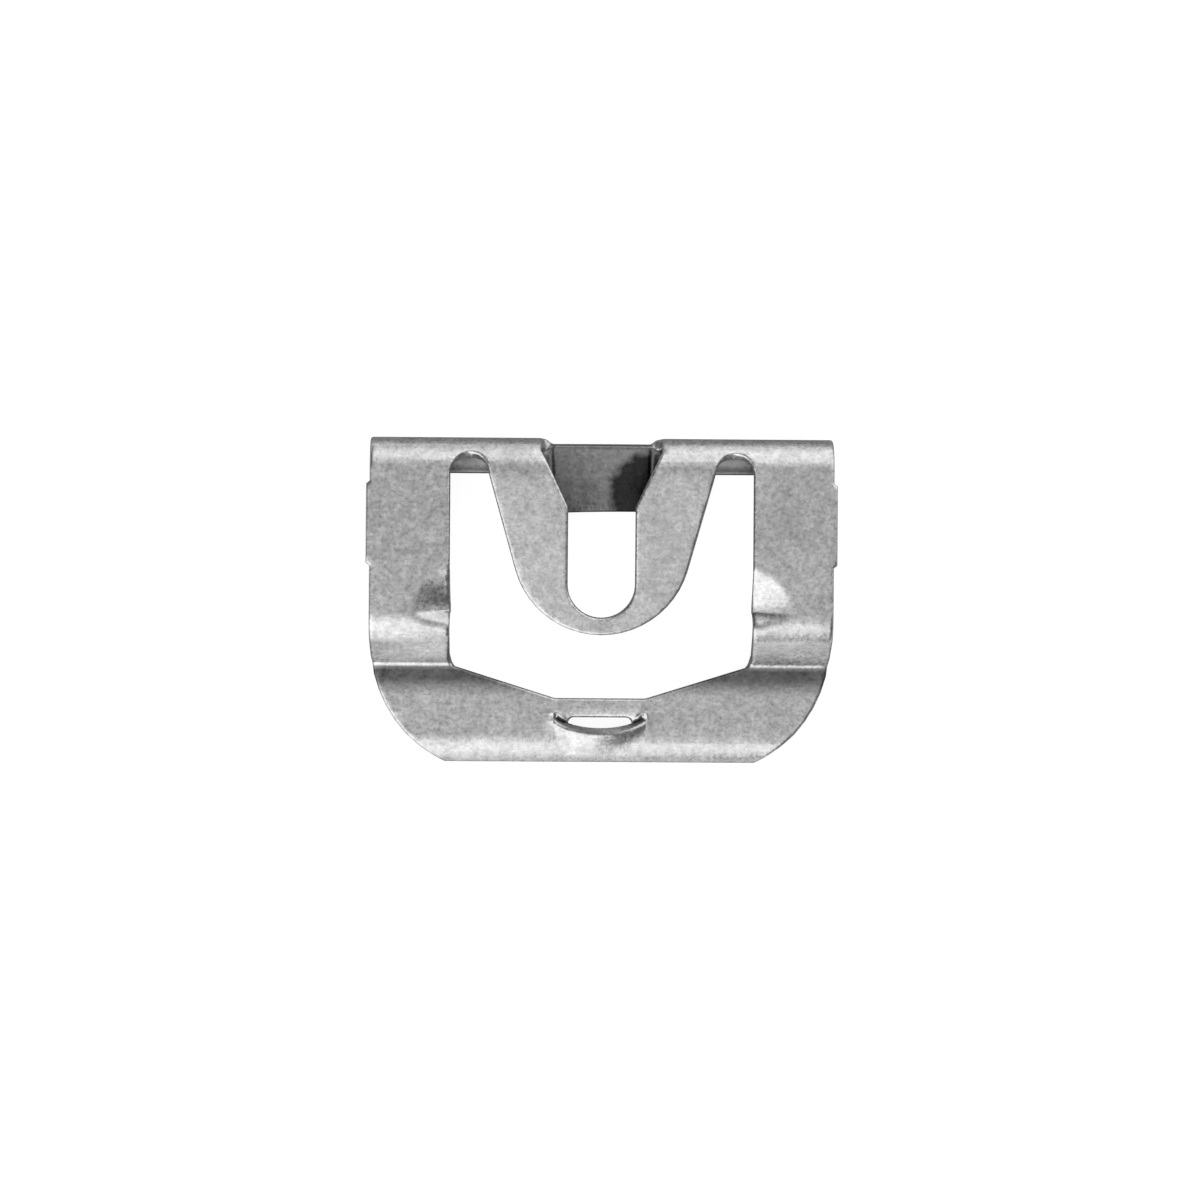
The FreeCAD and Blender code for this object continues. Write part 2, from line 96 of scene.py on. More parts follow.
# %% Places of the same lines in the flat blank
ROLL_LENGTH = math.pi * ROLL_MIDDLE
STEP_LENGTH = STEP_TURN * STEP_MIDDLE
FOOT_LENGTH = STEP_TURN * FOOT_MIDDLE
LIP_LENGTH = LIP_TURN * LIP_MIDDLE
ROLL_END = FOLD_Y + ROLL_LENGTH
LEG_END = ROLL_END + BACK_LEG
STEP_END = STEP_Y - STEP_LENGTH
FOOT_START = STEP_END - WALL
FOOT_END = FOOT_START - FOOT_LENGTH
LIP_START = FOOT_END - PLATE_FLAT
LIP_END = LIP_START - LIP_LENGTH


def unrolled(y):
    """Where a place on the folded front face lies in the flat blank."""
    if y > FOLD_Y:
        return FOLD_Y + ROLL_MIDDLE * math.asin((y - FOLD_Y) / ROLL_RADIUS)
    if y >= STEP_Y:
        return y
    if y >= WALL_TOP_Y:
        return STEP_Y - STEP_MIDDLE * math.asin((STEP_Y - y) / STEP_RADIUS)
    if y >= FOOT_TOP_Y:
        return STEP_END - (WALL_TOP_Y - y) / math.cos(STEP_TURN)
    if y >= FOOT_Y:
        return FOOT_END + FOOT_MIDDLE * math.asin((y - FOOT_Y) / FOOT_RADIUS)
    if y >= LIP_Y:
        return FOOT_END - (FOOT_Y - y)
    sine = min((LIP_Y - y) / LIP_RADIUS, math.sin(LIP_TURN))
    return LIP_START - LIP_MIDDLE * math.asin(sine)


print(f"flat blank {2 * EAR_HALF:.2f} by {LEG_END - LIP_END:.2f} mm without its tab")

# %% [markdown]
# ## The outlines
# A punched blank is one outer line and a few holes. Only the right half of
# each line is written, and its mirror image closes it. Round stretches are
# arcs, worked out in even steps. The side windows and the tongue are one hole
# shaped like a wide U, and the keyhole runs up through the rolled edge.

# %% Helpers for outlines
ARC_STEP = math.radians(7)


def arc(centre, radius, begin, finish):
    """Points along an arc, both ends included."""
    steps = max(2, round(abs(finish - begin) / ARC_STEP))
    angles = [begin + (finish - begin) * number / steps for number in range(steps + 1)]
    return [(centre[0] + radius * math.cos(a), centre[1] + radius * math.sin(a)) for a in angles]


def both_sides(right_half):
    """A closed line from its right half, walked from one end to the other."""
    left_half = [(-x, y) for x, y in reversed(right_half) if abs(x) > 1e-6]
    return right_half + left_half


# %% The outer line
BODY_HALF = EAR_HALF - 0.24
EAR_DROP = 3.06
EAR_LENGTH = 5.8
EAR_CHAMFER = 0.2
CORNER_RADIUS = 9.4
CORNER_INSET = 5.175
NOTCH_TURN = math.radians(100)
NOTCH_END = FOLD_Y + ROLL_MIDDLE * NOTCH_TURN
TAB_LENGTH = 4.7
TAB_ROOT_HALF = 3.35
TAB_TIP_HALF = 2.9
TAB_CORNER = 0.35
TAB_END = NOTCH_END + TAB_LENGTH

corner_rise = math.sqrt(CORNER_RADIUS ** 2 - (CORNER_RADIUS - CORNER_INSET) ** 2)
corner_centre = (BODY_HALF - CORNER_RADIUS, BOTTOM + corner_rise)
corner_begin = -math.asin(corner_rise / CORNER_RADIUS)
corner_arc = arc(corner_centre, CORNER_RADIUS, corner_begin, 0)
ear_top = TOP - EAR_DROP
ear_bottom = ear_top - EAR_LENGTH
outer_line = both_sides(
    [(x, unrolled(y)) for x, y in corner_arc]
    + [
        (BODY_HALF, ear_bottom),
        (EAR_HALF, ear_bottom + EAR_CHAMFER),
        (EAR_HALF, ear_top - EAR_CHAMFER),
        (BODY_HALF, ear_top),
        (BODY_HALF, LEG_END),
        (TAB_ROOT_HALF, LEG_END),
        (TAB_TIP_HALF, TAB_END - TAB_CORNER),
        (TAB_TIP_HALF - TAB_CORNER, TAB_END),
    ]
)

# %% The window and the tongue
BEND_Y = FOLD_Y - 0.4
ARCH_RADIUS = 1.315
ARCH_LEAN = math.radians(31)
TONGUE_LENGTH = 10.95
TIP_RADIUS = 6.14
TAPER = math.radians(15.8)
SHOULDER_Y = FOOT_Y + 0.13
SHOULDER_FILLET = 0.5
SILL_Y = SHOULDER_Y - 2.25
SILL_HALF = 3.13

tip_centre = (0, BEND_Y + TIP_RADIUS - TONGUE_LENGTH)
tip_side = (TIP_RADIUS * math.cos(TAPER), tip_centre[1] - TIP_RADIUS * math.sin(TAPER))
tongue_root = tip_side[0] + (BEND_Y - tip_side[1]) * math.tan(TAPER)
ARM_EDGE = tongue_root + 2 * ARCH_RADIUS
arch_centre = (tongue_root + ARCH_RADIUS, FOLD_Y + ROLL_MIDDLE * ARCH_LEAN - ARCH_RADIUS)
sill_slope = math.atan((SHOULDER_Y - SILL_Y) / (ARM_EDGE - SILL_HALF))
setback = SHOULDER_FILLET / math.tan((math.pi / 2 + sill_slope) / 2)
fillet_centre = (ARM_EDGE - SHOULDER_FILLET, SHOULDER_Y + setback)
window_line = both_sides(
    [(SILL_HALF, unrolled(SILL_Y))]
    + [
        (x, unrolled(y))
        for x, y in arc(fillet_centre, SHOULDER_FILLET, sill_slope - math.pi / 2, 0)
    ]
    + arc(arch_centre, ARCH_RADIUS, 0, math.pi)
    + arc(tip_centre, TIP_RADIUS, -TAPER, -math.pi / 2)
)

# %% The keyhole, its mouth and the notch in the rolled edge
SLOT_HALF = 2.305
SLOT_TIP_WALL = 1.18
MOUTH_HALF = 4.13
MOUTH_DROP = 0.87
MOUTH_DEPTH = 3.89
NOTCH_FILLET = 0.6

slot_centre = (0, BEND_Y + SLOT_TIP_WALL + SLOT_HALF - TONGUE_LENGTH)
mouth_top = TOP - MOUTH_DROP
flare_steps = 8
flare = [
    (
        SLOT_HALF + (MOUTH_HALF - SLOT_HALF) * step / flare_steps,
        unrolled(mouth_top - MOUTH_DEPTH + MOUTH_DEPTH * step / flare_steps),
    )
    for step in range(flare_steps + 1)
]
notch_corner = (MOUTH_HALF - NOTCH_FILLET, NOTCH_END - NOTCH_FILLET)
keyhole_line = both_sides(
    arc(slot_centre, SLOT_HALF, -math.pi / 2, 0)
    + flare
    + arc(notch_corner, NOTCH_FILLET, 0, math.pi / 2)
)

# %% The slit of the louvre
SLIT_HALF = 3.0
SLIT_Y = SILL_Y - 1.26
SLIT_OPENING = 1.02
SLIT_CURVE = 0.75
SLIT_END = 0.12
SLOT_CORNER = 0.42
SLOT_STRAIGHT = 1.78


def slit_edge(x):
    """The lower side of the slit: it opens like a smile when the louvre is pushed out."""
    share = min(abs(x) / SLIT_HALF, 1)
    return SLIT_Y - SLIT_END - (SLIT_OPENING - SLIT_END) * (1 - share ** 2) ** SLIT_CURVE


slit_steps = 20
slit_turns = [math.pi / 2 * step / slit_steps for step in range(slit_steps + 1)]
slit_below = [(SLIT_HALF * math.sin(a), slit_edge(SLIT_HALF * math.sin(a))) for a in slit_turns]
tear_start = SLOT_STRAIGHT + SLOT_CORNER
slit_above = [
    (x, slit_edge(x) + SLIT_END * 0.8) for x in (SLIT_HALF - 0.02, SLIT_HALF - 0.2, SLIT_HALF - 0.4)
]
slit_above += arc((SLOT_STRAIGHT, SLIT_Y - SLOT_CORNER), SLOT_CORNER, 0, math.pi / 2)
slit_line = both_sides([(x, unrolled(y)) for x, y in slit_below + slit_above + [(0, SLIT_Y)]])
print(f"outlines of {[len(line) for line in (outer_line, window_line, keyhole_line, slit_line)]} points")

# %% [markdown]
# ## The blank
# A flat curve with holes fills itself, and its extrude and bevel give the
# sheet a thickness and soft edges, as a punch leaves them. An inward offset of
# the bevel's own size keeps the outline where it was drawn. It could also be
# an extruded face with a bevel modifier, but that stumbles on narrow slivers.

# %% Make the blank
RIM = 0.18
WELD = 1e-4


def only(piece):
    """Select one object and nothing else."""
    bpy.ops.object.select_all(action="DESELECT")
    piece.select_set(True)
    bpy.context.view_layer.objects.active = piece


def sheet_from(name, lines):
    """A flat sheet of the real thickness, with every line after the first a hole."""
    curve = bpy.data.curves.new(name, "CURVE")
    curve.dimensions = "2D"
    curve.fill_mode = "BOTH"
    curve.extrude = SHEET / 2 - RIM
    curve.bevel_depth = RIM
    curve.bevel_resolution = 2
    curve.offset = -RIM
    for line in lines:
        spline = curve.splines.new("POLY")
        spline.points.add(len(line) - 1)
        spline.use_cyclic_u = True
        for point, (x, y) in zip(spline.points, line):
            point.co = (x, y, 0, 1)
    piece = bpy.data.objects.new(name, curve)
    bpy.context.scene.collection.objects.link(piece)
    piece.location.z = MIDDLE
    only(piece)
    bpy.ops.object.convert(target="MESH")
    bpy.ops.object.transform_apply(location=True, rotation=True, scale=True)
    return piece


clip = sheet_from("clip_sheet", [outer_line, window_line, keyhole_line, slit_line])
bpy.ops.object.mode_set(mode="EDIT")
bpy.ops.mesh.select_mode(type="VERT")
bpy.ops.mesh.select_all(action="SELECT")
bpy.ops.mesh.remove_doubles(threshold=WELD)

# %% [markdown]
# ## Lines to fold along
# A sheet can only bend where it has edges. The bisect operator cuts the blank
# along straight lines: close together in the bends and under the pressed
# forms, far apart in the flats. The slanted edges that filling left behind are
# then dissolved, which leaves clean square cells that shade smoothly.

# %% Cut the lines
FLAT_PITCH = 0.6
TAB_PITCH = 0.4
WALL_PITCH = 0.3
PLATE_PITCH = 0.25
PRESS_PITCH = 0.18
ROLL_LINES = 32
STEP_LINES = 12
FOOT_LINES = 8
LIP_LINES = 14
TONGUE_BEND_HALF = 0.2
PIT_TOP = 2.5
PIT_REACH = 3.4
WINDOW_MARGIN = 0.2
SIDE_MARGIN = 0.3
HOOD_UPPER = 0.8
HOOD_TOP = unrolled(SLIT_Y + HOOD_UPPER)
HOOD_HALF = 4.2


def even(begin, finish, pitch):
    """Places between two lines, evenly spread, both ends included."""
    steps = max(1, math.ceil(abs(finish - begin) / pitch))
    return [begin + (finish - begin) * step / steps for step in range(steps + 1)]


def fold_lines(begin, length, count):
    """The lines of one bend, each half a step in from its ends."""
    return [begin + length * (number + 0.5) / count for number in range(count)]


roll_lines = fold_lines(FOLD_Y, ROLL_LENGTH, ROLL_LINES)
tongue_lines = [BEND_Y + TONGUE_BEND_HALF, BEND_Y, BEND_Y - TONGUE_BEND_HALF]
step_lines = fold_lines(STEP_Y, -STEP_LENGTH, STEP_LINES)
foot_lines = fold_lines(FOOT_START, -FOOT_LENGTH, FOOT_LINES)
lip_lines = fold_lines(LIP_START, -LIP_LENGTH, LIP_LINES)
rows = roll_lines + tongue_lines + step_lines + foot_lines + lip_lines
rows += even(LEG_END, TAB_END, TAB_PITCH)[:-1]
rows += even(BEND_Y - 2 * TONGUE_BEND_HALF, PIT_TOP, FLAT_PITCH)
rows += even(PIT_TOP, STEP_Y, PRESS_PITCH)[1:]
rows += even(STEP_END, FOOT_START, WALL_PITCH)
rows += even(FOOT_END, HOOD_TOP, PLATE_PITCH)
rows += even(HOOD_TOP, LIP_START, PRESS_PITCH)[1:]
side_columns = even(0, HOOD_HALF, PRESS_PITCH)[1:]
side_columns += even(HOOD_HALF, ARM_EDGE - WINDOW_MARGIN, FLAT_PITCH)[1:]
side_columns += even(ARM_EDGE, ARM_EDGE + PIT_REACH, PRESS_PITCH)[1:]
side_columns += even(ARM_EDGE + PIT_REACH, BODY_HALF - SIDE_MARGIN, FLAT_PITCH)[1:]
columns = [0] + side_columns + [-x for x in side_columns]


def cut(places, direction):
    """Cut the whole sheet at each place along one direction."""
    for place in places:
        bpy.ops.mesh.select_all(action="SELECT")
        bpy.ops.mesh.bisect(
            plane_co=[place * part for part in direction], plane_no=direction, threshold=WELD
        )


def is_slanted(edge):
    """True for an edge inside a flat face of the sheet that runs along neither line."""
    if len(edge.link_faces) != 2 or any(abs(face.normal.z) < 0.999 for face in edge.link_faces):
        return False
    way = edge.verts[1].co - edge.verts[0].co
    return min(abs(way.x), abs(way.y)) > WELD


cut(rows, (0, 1, 0))
cut(columns, (1, 0, 0))
bpy.ops.mesh.select_all(action="DESELECT")
bpy.ops.mesh.select_mode(type="EDGE")
cells = bmesh.from_edit_mesh(clip.data)
for edge in cells.edges:
    if is_slanted(edge):
        edge.select_set(True)
bmesh.update_edit_mesh(clip.data)
bpy.ops.mesh.dissolve_edges(use_verts=True)
bpy.ops.object.mode_set(mode="OBJECT")
print(f"blank of {len(clip.data.vertices)} points and {len(clip.data.polygons)} faces")

# %% [markdown]
# ## Marks that travel with the sheet
# While the blank is flat, it is easy to say which points lie on a sheared
# edge, which ones lie in a fold, a crease or the tab's shadow and get painted
# shade, and where each one lay along the blank. The first two are kept as
# attributes of the mesh, which the finish reads later, and the last as lists
# for folding. A finish could also find its places by height or slope, but on a
# folded sheet two layers share a place.

# %% Keep where each point lay
flat_x = [vertex.co.x for vertex in clip.data.vertices]
flat_y = [vertex.co.y for vertex in clip.data.vertices]


def nearness_to_middle(z):
    """0 on the two faces of the sheet and 1 in the middle between them."""
    return 1 - abs(z - MIDDLE) / (SHEET / 2)


# %% Where shade is painted into the plating's colour
UNDER_FOOT_START = 0.2
UNDER_FOOT_RISE = 0.55
UNDER_FOOT_FULL = 0.8
UNDER_FOOT_REACH = 2.1
# How much painted shade each place gets; the tab also gets a painted shadow.
PAINTED_SHADE_IN_FOLD = 0.9
PAINTED_SHADE_GUSSET = 0.35
PAINTED_SHADOW_ON_TAB = 0.5
PAINTED_SHADE_LOUVRE_CUT = 0.8
# A painted shadow on the tab's right half, where the mouth shades it.
TAB_SHADOW_MIDDLE = (3.2, 3.4)
TAB_SHADOW_SPAN = (2.95, 3.3)
TAB_SHADOW_EDGE = 0.3


def painted_shade_under_foot(below):
    """A band of painted shade along the foot of the step, where the step shades the plate."""
    fading_in = (UNDER_FOOT_START - below) / UNDER_FOOT_RISE
    fading_out = (below - UNDER_FOOT_FULL) / (UNDER_FOOT_REACH - UNDER_FOOT_FULL)
    return 1 - max(0.0, fading_in, fading_out)


def painted_tab_shadow(x, y):
    """A round painted shadow on the right half of the tab, with a soft edge."""
    out = (x - TAB_SHADOW_MIDDLE[0]) / TAB_SHADOW_SPAN[0]
    along = (y - NOTCH_END - TAB_SHADOW_MIDDLE[1]) / TAB_SHADOW_SPAN[1]
    return max(0.0, min(1.0, (1 - math.hypot(out, along)) / TAB_SHADOW_EDGE))


def painted_shade_at(x, y, z):
    """How much painted shade a point of the blank gets."""
    below = FOOT_END - y
    # Painted shade along the foot of the step.
    if UNDER_FOOT_START - UNDER_FOOT_RISE < below < UNDER_FOOT_REACH:
        return painted_shade_under_foot(below)
    # Painted shade on the inner face of the fold behind the mouth, lighter on its gussets, with a painted
    # shadow on the tab.
    if y > FOLD_Y + ROLL_LENGTH / 2 and z < MIDDLE:
        if TAB_ROOT_HALF < abs(x) < MOUTH_HALF:
            return PAINTED_SHADE_GUSSET
        return PAINTED_SHADE_IN_FOLD + PAINTED_SHADOW_ON_TAB * painted_tab_shadow(x, y)
    # Painted shade on the sheared face under the louvre.
    if abs(x) < SLIT_HALF and abs(y - unrolled(slit_edge(x))) < RIM:
        return PAINTED_SHADE_LOUVRE_CUT * min(1.0, 2 * nearness_to_middle(z))
    return 0.0


# %% Put the marks on the mesh
sheared = clip.data.attributes.new("sheared", "FLOAT", "POINT")
painted_shade = clip.data.attributes.new("painted_shade", "FLOAT", "POINT")
for vertex in clip.data.vertices:
    x, y, z = vertex.co
    sheared.data[vertex.index].value = min(1.0, nearness_to_middle(z) / (RIM / (SHEET / 2)))
    painted_shade.data[vertex.index].value = painted_shade_at(x, y, z)
# Count the points that get painted shade.
painted_shade_points = sum(1 for mark in painted_shade.data if mark.value > 0)
print(f"{painted_shade_points} of {len(clip.data.vertices)} points lie where the plating stays dark")

# %% [markdown]
# ## Pressed forms
# The pits stiffen the arms, and the louvre gives the molding an edge to
# catch on. A punch moves the middle of the sheet, and the sheet keeps its
# thickness square to its new slope. So each form is a small formula for the
# height of the middle, and its slope turns the thickness with it.

# %% Formulas of the forms
FOLD_MARGIN = 0.5
PIT_DEPTH = 1.45
PIT_MIDDLE = -0.7
PIT_LOWER = 1.1
PIT_UPPER = 2.9
PIT_CENTRE = 1.3
PIT_WIDTH = 4.0
PIT_FLARE = 1.15
PIT_SOFT = 0.1
HOOD_REACH = 1.45
HOOD_ANGLE = math.radians(64)
HOOD_TAPER = 1.8
HOOD_BELOW_LIP = 2.0
SILL_DIP = 0.07
SILL_REACH = 0.6


def ease(share):
    """A smooth ramp from 0 to 1."""
    share = max(0.0, min(1.0, share))
    return share * share * (3 - 2 * share)


def pit(x, y):
    """Height of the pit beside the window: a long upper slope and a short lower one."""
    if abs(x) < ARM_EDGE - FOLD_MARGIN:
        return 0.0
    out = (abs(x) - ARM_EDGE + PIT_CENTRE) / PIT_WIDTH
    along = (y - PIT_MIDDLE) / (PIT_UPPER if y > PIT_MIDDLE else PIT_LOWER)
    along = math.hypot(along, PIT_SOFT) - PIT_SOFT
    return -PIT_DEPTH * max(0.0, 1 - math.hypot(out, along)) ** PIT_FLARE


def hood(x, y):
    """Height of the louvre: it curls up to its mouth on an arc, less so towards its ends."""
    if y < LIP_START - HOOD_BELOW_LIP or y > HOOD_TOP or abs(x) >= HOOD_HALF:
        return 0.0
    edge = unrolled(slit_edge(x))
    curl = HOOD_ANGLE * (1 - (x / HOOD_HALF) ** 2) ** HOOD_TAPER
    radius = HOOD_REACH / math.sin(max(curl, 0.01))
    inward = max(0.0, y - edge + HOOD_REACH)
    if y <= edge + SLIT_END / 2:
        inward = min(inward, HOOD_REACH)
        return radius - math.sqrt(radius ** 2 - inward ** 2)
    beyond = max(0.0, 1 - (y - edge) / HOOD_UPPER)
    outside = ease((abs(x) - tear_start) / (SLIT_HALF - tear_start))
    dip = SILL_DIP * (1 - outside) * max(0.0, 1 - (y - unrolled(SLIT_Y)) / SILL_REACH) ** 2
    return radius * (1 - math.cos(curl)) * outside * beyond ** 2 - dip


TAB_DISH = 0.2
TAB_TWIST = math.radians(5)


def tab_form(x, y):
    """The tab is dished and a little twisted, both more so towards its tip."""
    if y <= NOTCH_END or abs(x) > MOUTH_HALF:
        return 0.0
    share = (y - NOTCH_END) / TAB_LENGTH
    inside = min(abs(x), TAB_ROOT_HALF)
    dish = TAB_DISH * (inside / TAB_TIP_HALF) ** 2
    return share * (math.copysign(inside, x) * math.tan(TAB_TWIST) - dish)


# %% Press them
SLOPE_STEP = 0.02


def press(piece, form):
    """Move the sheet's middle by a form, and keep its thickness square to it."""
    for vertex in piece.data.vertices:
        x, y = vertex.co.x, vertex.co.y
        rise = form(x, y)
        slope_x = (form(x + SLOPE_STEP, y) - form(x - SLOPE_STEP, y)) / (2 * SLOPE_STEP)
        slope_y = (form(x, y + SLOPE_STEP) - form(x, y - SLOPE_STEP)) / (2 * SLOPE_STEP)
        if rise == 0 and slope_x == 0 and slope_y == 0:
            continue
        normal = Vector((-slope_x, -slope_y, 1)).normalized()
        vertex.co = Vector((x, y, MIDDLE + rise)) + normal * (vertex.co.z - MIDDLE)


for form in (pit, hood, tab_form):
    press(clip, form)
pressed = [vertex.co.copy() for vertex in clip.data.vertices]

# %% [markdown]
# ## Folding
# A press brake bends a sheet by many light strokes. The same is done here: all
# that lies past a line is turned by a small angle about that line, and then
# the next line is taken. The line itself turns by half the angle, so that the
# sheet keeps its thickness. The far bends come first, while the rest is flat.

# %% Fold the sheet
FRAME_MARGIN = 1.5
bpy.ops.object.mode_set(mode="EDIT")
bpy.ops.mesh.select_mode(type="VERT")


def turn_where(test, angle, pivot):
    """Turn the points that pass a test about a line along X; a positive angle goes back."""
    bpy.ops.mesh.select_all(action="DESELECT")
    points = bmesh.from_edit_mesh(clip.data).verts
    for point in points:
        if test(point.index):
            point.select_set(True)
    bmesh.update_edit_mesh(clip.data)
    bpy.ops.transform.rotate(value=angle, orient_axis="X", center_override=pivot)


def fold(lines, angle, height, test):
    """Fold past each line in turn; angle is positive where an upper part goes back."""
    side = 1 if lines[-1] > lines[0] else -1
    stride = abs(lines[-1] - lines[0]) / (len(lines) - 1) if len(lines) > 1 else 0
    stroke = angle / len(lines)
    place_y, place_z, turned = lines[0], height, 0.0
    for line in lines:
        pivot = (0, place_y, place_z)
        turn_where(lambda i: test(i) and (flat_y[i] - line) * side > -WELD, stroke / 2, pivot)
        turn_where(lambda i: test(i) and (flat_y[i] - line) * side > WELD, stroke / 2, pivot)
        turned += stroke
        place_y += side * stride * math.cos(turned)
        place_z -= side * stride * math.sin(turned)


def everywhere(index):
    """The whole sheet turns."""
    return True


def in_tongue(index):
    """Only the tongue, which the window frees from the arms."""
    within = abs(flat_x[index]) < tongue_root + FOLD_MARGIN
    return flat_y[index] > tip_bottom - FOLD_MARGIN and within


def in_frame(index):
    """The arms and the lower frame, and not the tongue between them."""
    beside = abs(flat_x[index]) > ARM_EDGE - FRAME_MARGIN
    return flat_y[index] < tip_bottom - FOLD_MARGIN or beside


tip_bottom = tip_centre[1] - TIP_RADIUS
TONGUE_TILT = math.radians(5)
fold(tongue_lines, -TONGUE_TILT, MIDDLE, in_tongue)
fold(lip_lines, -LIP_TURN, MIDDLE, in_frame)
fold(foot_lines, STEP_TURN, MIDDLE, in_frame)
fold(step_lines, -STEP_TURN, MIDDLE, in_frame)
fold(roll_lines, math.pi, MIDDLE, everywhere)
bpy.ops.object.mode_set(mode="OBJECT")

# %% [markdown]
# ## The flat tab
# Behind the mouth, the last part of the roll is pressed flat and becomes the
# tab that locks the stud. Its points are carried from the flat blank onto the
# tab's plane, and at both sides they ease back into the round of the roll.

# %% Press the tab flat
TAB_SLOPE = math.radians(15)
GUSSET_INSIDE = 3.3
GUSSET_GRIP = 0.6
tab_along = Vector((0, -math.cos(TAB_SLOPE), -math.sin(TAB_SLOPE)))
tab_outward = Vector((0, math.sin(TAB_SLOPE), -math.cos(TAB_SLOPE)))
rim_y = FOLD_Y + ROLL_MIDDLE * math.sin(NOTCH_TURN)
rim_z = ROLL_RADIUS + ROLL_MIDDLE * math.cos(NOTCH_TURN)
for vertex, (x, y, z) in zip(clip.data.vertices, pressed):
    if y < NOTCH_END - 0.2 * RIM or abs(x) > MOUTH_HALF:
        continue
    held = ease((MOUTH_HALF - abs(x)) / (MOUTH_HALF - GUSSET_INSIDE))
    share = held ** (1 + 2 * (1 - ease((y - NOTCH_END) / GUSSET_GRIP)))
    flat = Vector((x, rim_y, rim_z)) + tab_along * (y - NOTCH_END) + tab_outward * (z - MIDDLE)
    vertex.co = vertex.co.lerp(flat, share)
span = [[f(v.co[axis] for v in clip.data.vertices) for f in (min, max)] for axis in range(3)]
print("folded sheet in mm:", [[round(end, 3) for end in pair] for pair in span])

# %% [markdown]
# ## Finish the mesh
# The model is drawn in millimetres, and the frame is in metres. Weighted
# normals let the large flats stay flat while their soft edges shade smoothly.

# %% Scale, shade and hand over
only(clip)
clip.scale = (MM, MM, MM)
bpy.ops.object.transform_apply(location=True, rotation=True, scale=True)
bpy.ops.object.shade_smooth()
bpy.ops.object.modifier_add(type="WEIGHTED_NORMAL")
clip.modifiers[-1].mode = "FACE_AREA_WITH_ANGLE"
bpy.ops.object.modifier_apply(modifier=clip.modifiers[-1].name)
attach(clip, "root")
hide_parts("clip")
triangles = sum(len(face.vertices) - 2 for face in clip.data.polygons)
print(f"clip: {len(clip.data.vertices)} points, {triangles} triangles")

# %% [markdown]
# ## The plating
# Zinc plating on spring steel is satin, not mirror bright. Its fine mottled
# grain is made of crystals that tilt a little this way and that, so the grain
# goes into the bump and the roughness as well as into the colour. Cloudy
# patches, bright specks and faint slanting streaks lie over it. The rims are
# rubbed bright, and the sheared faces inside them are darker and rougher. In the
# folds, along the foot of the step and under the louvre, shade is painted into
# the colour, and a painted shadow lies on the tab. All of it is made of noise
# nodes, which never repeat and need no picture.

# %% A helper for materials
NOISE_LOW = 0.3
NOISE_HIGH = 0.7


class Finish:
    """A material whose nodes are added and joined one line at a time."""

    def __init__(self, name):
        self.material = bpy.data.materials.new(name)
        self.material.use_nodes = True
        self.tree = self.material.node_tree
        self.shader = self.tree.nodes["Principled BSDF"]

    def node(self, kind, inputs=None, **settings):
        made = self.tree.nodes.new("ShaderNode" + kind)
        for key, value in settings.items():
            setattr(made, key, value)
        for key, value in (inputs or {}).items():
            if isinstance(value, bpy.types.NodeSocket):
                self.tree.links.new(value, made.inputs[key])
            else:
                made.inputs[key].default_value = value
        return made

    def blend(self, operation, first, second):
        return self.node("Math", {0: first, 1: second}, operation=operation).outputs[0]

    def spread(self, value, low_in, high_in, low_out, high_out):
        """A value brought from one range to another, and held within it."""
        numbers = {"Value": value, 1: low_in, 2: high_in, 3: low_out, 4: high_out}
        return self.node("MapRange", numbers).outputs[0]

    def varied(self, noise, low, high):
        """A noise, most of which lies in its middle part, brought to a range."""
        return self.spread(noise, NOISE_LOW, NOISE_HIGH, low, high)

    def noise(self, place, scale, detail, roughness=0.5):
        numbers = {"Vector": place, "Scale": scale, "Detail": detail, "Roughness": roughness}
        return self.node("TexNoise", numbers).outputs[0]

    def mark(self, name):
        """An attribute that the mesh carries."""
        return self.node("Attribute", attribute_name=name).outputs["Fac"]

    def millimetres(self):
        place = self.node("TexCoord").outputs["Object"]
        return self.node("Mapping", {"Vector": place, "Scale": (1 / MM, 1 / MM, 1 / MM)}).outputs[0]

    def drawn_out(self, place, turn, along, across):
        """The same place, squeezed so that a noise there turns into slanting streaks."""
        numbers = {"Vector": place, "Rotation": (0, 0, turn), "Scale": (along, across, across)}
        return self.node("Mapping", numbers).outputs[0]


# %% The plated steel
GRAIN_PER_MM = 4.2
MOTTLE_PER_MM = 1.5
CLOUD_PER_MM = 0.35
SPECK_PER_MM = 5.0
STREAK_TURN = math.radians(47)
FACE_TONE = 0.62
BRIGHTEST_TONE = 0.95
SHEARED_TONE = 0.72
WORN_TONE = 1.12
# How dark the painted shade gets, and where it fades in.
PAINTED_SHADE_TONE = 0.04
PAINTED_SHADE_BEGINS = 0.1
PAINTED_SHADE_FULL = 1.25
PAINTED_SHADE_UNEVEN = 0.12
FACE_ROUGHNESS = (0.24, 0.36)
SHEARED_ROUGHER = 0.16
BUMP_STRENGTH = 0.6
BUMP_HEIGHT = 0.02


